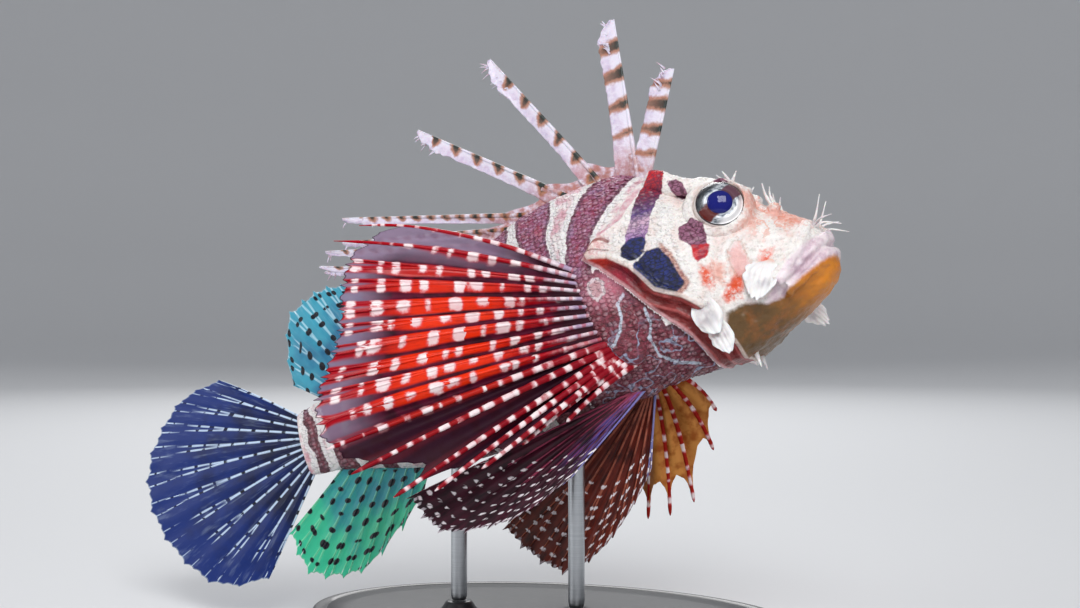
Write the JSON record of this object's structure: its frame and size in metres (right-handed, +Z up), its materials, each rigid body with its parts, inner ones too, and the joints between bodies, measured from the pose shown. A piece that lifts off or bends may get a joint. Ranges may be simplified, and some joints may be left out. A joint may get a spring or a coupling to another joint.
{
  "type": "zebra lionfish model",
  "caption": "Life-size still model of a zebra lionfish, fins spread and nose up, held over an oval base by slim rods.",
  "frame": {"origin": "centre of the stand's flat underside", "axes": "+X towards the fish's snout, +Y to its left, +Z up"},
  "size_m": [0.1885, 0.1101, 0.1532],
  "materials": {
    "skin": "damp skin with fine scales, cream and pink with maroon, red and dark blue bands",
    "eye": "clear wet dome over a blue-black pupil and a silver-grey iris crossed by a brown-red band",
    "spine_blade": "pale lavender-white membrane with brown bars that have dark green centres, frayed white tips",
    "pectoral_fin": "saturated red membrane with white bars along raised rays, greyer and thinner at the margin",
    "pelvic_fin": "wine-dark membrane with thin pale rays and small white dots towards the margin",
    "tail_fin": "translucent blue to sea-green membrane with rows of dark spots on pale rays",
    "stand_black": "satin black lacquer",
    "stand_steel": "satin, brushed round the rod"
  },
  "bodies": {
    "root": {"head": "skin", "lower_jaw": "skin", "torso": "skin", "tail_stalk": "skin", "eye_right": "eye", "eye_left": "eye", "dorsal_spines_front": "spine_blade", "dorsal_spines_middle": "spine_blade", "dorsal_spines_rear": "spine_blade", "pectoral_fin_right": "pectoral_fin", "pectoral_fin_left": "pectoral_fin", "pelvic_fin_right": "pelvic_fin", "pelvic_fin_left": "pelvic_fin", "caudal_fin": "tail_fin", "anal_fin": "tail_fin", "soft_dorsal_fin": "tail_fin", "stand_base": "stand_black", "stand_rod_front": "stand_steel", "stand_rod_rear": "stand_steel"}
  },
  "joints": []
}
